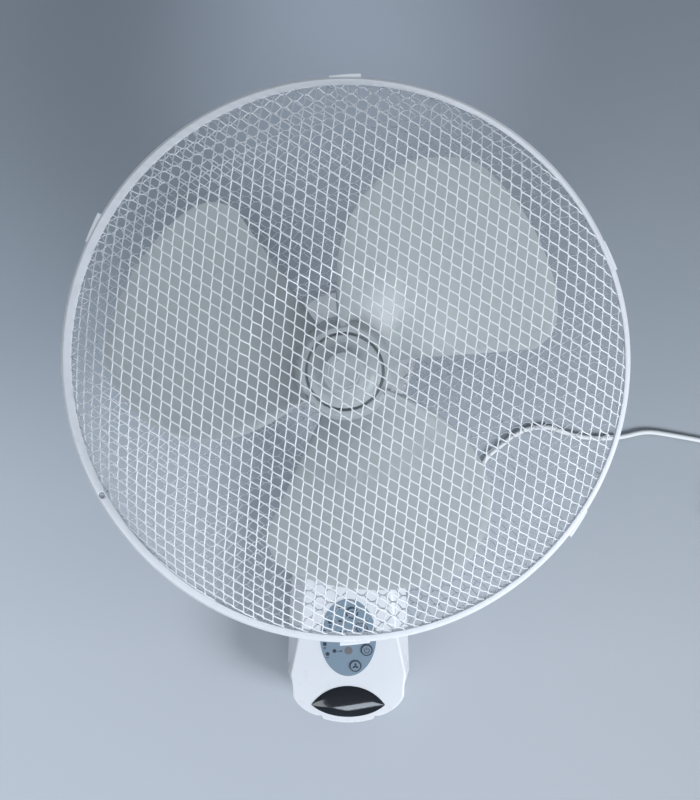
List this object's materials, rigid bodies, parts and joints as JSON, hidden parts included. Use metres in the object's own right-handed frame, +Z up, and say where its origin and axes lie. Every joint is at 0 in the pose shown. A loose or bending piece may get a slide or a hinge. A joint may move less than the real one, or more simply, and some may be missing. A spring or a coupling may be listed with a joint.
{
  "type": "wall mounted fan",
  "caption": "Wall mounted fan with a round wire guard, a three-blade wheel, a swinging and tilting head, and a slim base with a control panel on a wall bracket.",
  "frame": {"origin": "centre of the bracket's four wall screw holes, on the wall plane", "axes": "+X to the right seen from the room, +Y into the wall, +Z up; the fan faces -Y"},
  "size_m": [0.6783, 0.3155, 0.5907],
  "materials": {
    "white_plastic": "gloss white moulding",
    "white_wire": "white dip coated steel wire",
    "smoky_plastic": "light smoky grey, slightly translucent",
    "grey_plastic": "grey moulding",
    "black_plastic": "black moulding",
    "panel_blue": "blue grey inlay",
    "ir_brown": "dark infrared filter",
    "led_lens": "clear light pipe",
    "smoked_lens": "smoked gloss window",
    "board_green": "circuit board",
    "core_steel": "laminated steel",
    "zinc_steel": "zinc plated",
    "bright_steel": "ground steel",
    "bronze": "sintered bronze",
    "copper": "enamelled copper",
    "nickel": "nickel plated",
    "white_rubber": "soft white sheath"
  },
  "bodies": {
    "base": {"wall_bracket": "zinc_steel", "base_back_cover": "white_plastic", "base_front_cover": "white_plastic", "base_screws": "zinc_steel", "control_panel": "panel_blue", "ir_window": "ir_brown", "led_indicators": "led_lens", "lens_window": "smoked_lens", "control_board": "board_green", "board_screws": "zinc_steel", "tact_switches": "black_plastic", "ir_receiver": "black_plastic", "power_transformer": "core_steel", "run_capacitor": "black_plastic", "base_arm": "white_plastic", "cord_gland": "white_rubber", "power_cord": "white_rubber", "cord_coil": "white_rubber", "coil_tie": "black_plastic", "plug": "white_rubber", "plug_pins": "nickel"},
    "power_key": {"key_power": "panel_blue"},
    "speed_key": {"key_speed": "panel_blue"},
    "timer_key": {"key_timer": "panel_blue"},
    "swing_key": {"key_swing": "panel_blue"},
    "neck": {"neck_bracket": "white_plastic", "tilt_bolt": "zinc_steel", "tilt_nut": "zinc_steel", "swing_clip": "zinc_steel"},
    "head": {"swing_bush": "bronze", "swing_frame": "zinc_steel", "swing_motor": "zinc_steel", "motor_front_cover": "white_plastic", "motor_rear_cover": "white_plastic", "motor_cover_screws": "zinc_steel", "stator_core": "core_steel", "stator_windings": "copper", "front_motor_cup": "zinc_steel", "rear_motor_cup": "zinc_steel", "front_bush": "bronze", "rear_bush": "bronze", "front_guard_ring": "white_plastic", "rear_guard_ring": "white_plastic", "lock_screw": "zinc_steel", "lock_nut": "zinc_steel", "front_guard_net": "white_wire", "rear_guard_net": "white_wire", "rear_guard_plate": "white_wire", "guard_nut": "grey_plastic"},
    "crank": {"swing_crank": "zinc_steel"},
    "link": {"swing_link": "zinc_steel"},
    "fan_wheel": {"motor_shaft": "bright_steel", "rotor": "core_steel", "drive_pin": "bright_steel", "impeller": "smoky_plastic", "spinner": "smoky_plastic"}
  },
  "joints": [
    {"name": "power_press", "type": "slide", "parent": "base", "child": "power_key", "axis": [0, 1, 0], "range_m": [0, 0.0006], "stiffness_N_per_m": 1000, "springref_m": -0.0008},
    {"name": "speed_press", "type": "slide", "parent": "base", "child": "speed_key", "axis": [0, 1, 0], "range_m": [0, 0.0006], "stiffness_N_per_m": 1000, "springref_m": -0.0008},
    {"name": "timer_press", "type": "slide", "parent": "base", "child": "timer_key", "axis": [0, 1, 0], "range_m": [0, 0.0006], "stiffness_N_per_m": 1000, "springref_m": -0.0008},
    {"name": "swing_press", "type": "slide", "parent": "base", "child": "swing_key", "axis": [0, 1, 0], "range_m": [0, 0.0006], "stiffness_N_per_m": 1000, "springref_m": -0.0008},
    {"name": "tilt", "type": "hinge", "parent": "base", "child": "neck", "pos_m": [0, -0.115, 0.13], "axis": [1, 0, 0], "range_deg": [-15, 30]},
    {"name": "swing", "type": "hinge", "parent": "neck", "child": "head", "pos_m": [0, -0.115, 0.156], "axis": [0, 0, 1], "range_deg": [-40, 40]},
    {"name": "crank_turn", "type": "hinge", "parent": "head", "child": "crank", "pos_m": [0.0145, -0.1114, 0.17], "axis": [0, 0, 1], "range_deg": [-61, 61]},
    {"name": "link_turn", "type": "hinge", "parent": "crank", "child": "link", "pos_m": [0.0145, -0.101, 0.168], "axis": [0, 0, 1], "range_deg": [-61, 61]},
    {"name": "spin", "type": "hinge", "parent": "head", "child": "fan_wheel", "pos_m": [0, -0.25, 0.215], "axis": [0, 1, 0], "continuous": true}
  ],
  "couplings": [
    {"joint": "crank_turn", "follows": "swing", "ratio": -1.5},
    {"joint": "link_turn", "follows": "swing", "ratio": 1.5}
  ]
}
